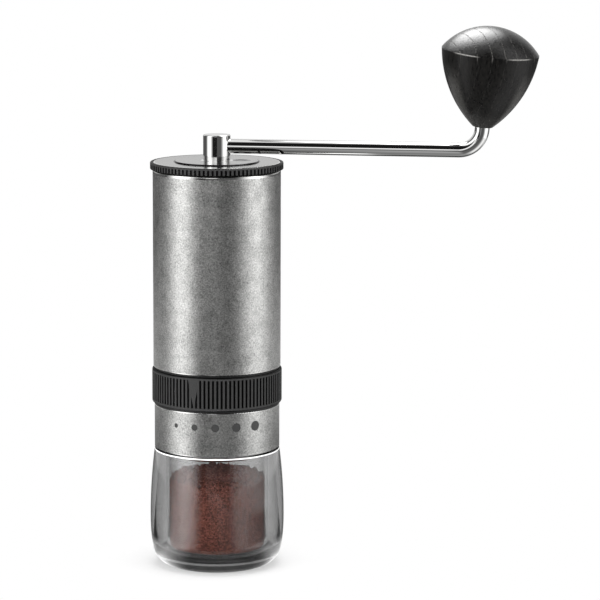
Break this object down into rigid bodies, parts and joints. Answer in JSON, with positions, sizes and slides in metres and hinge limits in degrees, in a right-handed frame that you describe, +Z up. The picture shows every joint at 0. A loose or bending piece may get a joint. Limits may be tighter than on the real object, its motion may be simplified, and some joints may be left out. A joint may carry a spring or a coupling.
{
  "type": "hand crank coffee grinder",
  "caption": "Slim hand crank coffee grinder: steel tube hopper, lift-off lid with a bent arm and wooden knob, ribbed grind ring with a dot scale, smoked jar.",
  "frame": {"origin": "on the shaft axis, in the plane of the jar's foot", "axes": "+Z up along the shaft, the grind scale faces -Y, the crank arm at rest points to +X and a little to -Y"},
  "size_m": [0.15, 0.0614, 0.214],
  "materials": {
    "smoked_plastic": "clear, smoke grey",
    "clear_plastic": "clear",
    "silicone": "matte",
    "tumbled_steel": "fine tumbled grain",
    "satin_steel": "satin",
    "polished_steel": "mirror polished",
    "bearing_steel": "ground",
    "burr_steel": "machined",
    "hardware_steel": "bright",
    "turned_aluminium": "turned",
    "black_plastic": "satin black",
    "black_nylon": "matte black",
    "white_nylon": "matte",
    "brass": "turned",
    "stained_ash": "black stained, satin lacquer",
    "scale_paint": "filled grey enamel"
  },
  "bodies": {
    "jar": {"jar": "smoked_plastic", "grounds_cup": "clear_plastic", "jar_seal": "silicone"},
    "body": {"body_tube": "tumbled_steel", "chassis": "turned_aluminium", "lower_bridge": "turned_aluminium", "upper_bridge": "turned_aluminium", "lower_outer_race": "bearing_steel", "lower_balls": "bearing_steel", "upper_outer_race": "bearing_steel", "upper_balls": "bearing_steel", "collar": "tumbled_steel", "scale_dots": "scale_paint", "collar_core": "black_nylon", "lower_ring_washer": "black_nylon", "upper_ring_washer": "black_nylon"},
    "lid": {"lid_plug": "black_nylon", "lid_seal": "silicone", "lid_rim": "black_plastic", "lid_plate": "satin_steel", "lid_screws": "hardware_steel", "lid_bush": "brass", "hub_washer": "polished_steel"},
    "crank": {"crank_hub": "polished_steel", "hub_clip": "hardware_steel", "crank_arm": "polished_steel", "knob_clip": "hardware_steel"},
    "knob": {"knob": "stained_ash", "knob_bush": "brass", "knob_pad": "white_nylon"},
    "shaft": {"drive_shaft": "hardware_steel", "shaft_clip": "hardware_steel", "lower_inner_race": "bearing_steel", "upper_inner_race": "bearing_steel", "inner_burr": "burr_steel", "burr_washer": "hardware_steel", "burr_nut": "hardware_steel", "burr_spring": "hardware_steel"},
    "ring": {"adjusting_ring": "black_plastic"},
    "carrier": {"burr_carrier": "turned_aluminium", "follower_pins": "bearing_steel", "ring_burr": "burr_steel", "burr_screws": "hardware_steel"}
  },
  "joints": [
    {"name": "body_lift", "type": "slide", "parent": "jar", "child": "body", "axis": [0, 0, 1], "range_m": [0, 0.03]},
    {"name": "lid_lift", "type": "slide", "parent": "body", "child": "lid", "axis": [0, 0, 1], "range_m": [0, 0.03]},
    {"name": "crank_turn", "type": "hinge", "parent": "lid", "child": "crank", "pos_m": [0, 0, 0.16], "axis": [0, 0, 1], "continuous": true},
    {"name": "knob_spin", "type": "hinge", "parent": "crank", "child": "knob", "pos_m": [0.10243, -0.01411, 0.17538], "axis": [0.0881, -0.0781, 0.993], "continuous": true},
    {"name": "shaft_turn", "type": "hinge", "parent": "body", "child": "shaft", "pos_m": [0, 0, 0.1], "axis": [0, 0, 1], "continuous": true},
    {"name": "ring_turn", "type": "hinge", "parent": "body", "child": "ring", "pos_m": [0, 0, 0.072], "axis": [0, 0, 1], "range_deg": [-19.3, 57.9]},
    {"name": "carrier_rise", "type": "slide", "parent": "body", "child": "carrier", "axis": [0, 0, 1], "range_m": [-0.00032, 0.00096]}
  ],
  "couplings": [
    {"joint": "shaft_turn", "follows": "crank_turn", "ratio": 1},
    {"joint": "ring_turn", "follows": "carrier_rise", "rad_per_m": 1047.2}
  ]
}
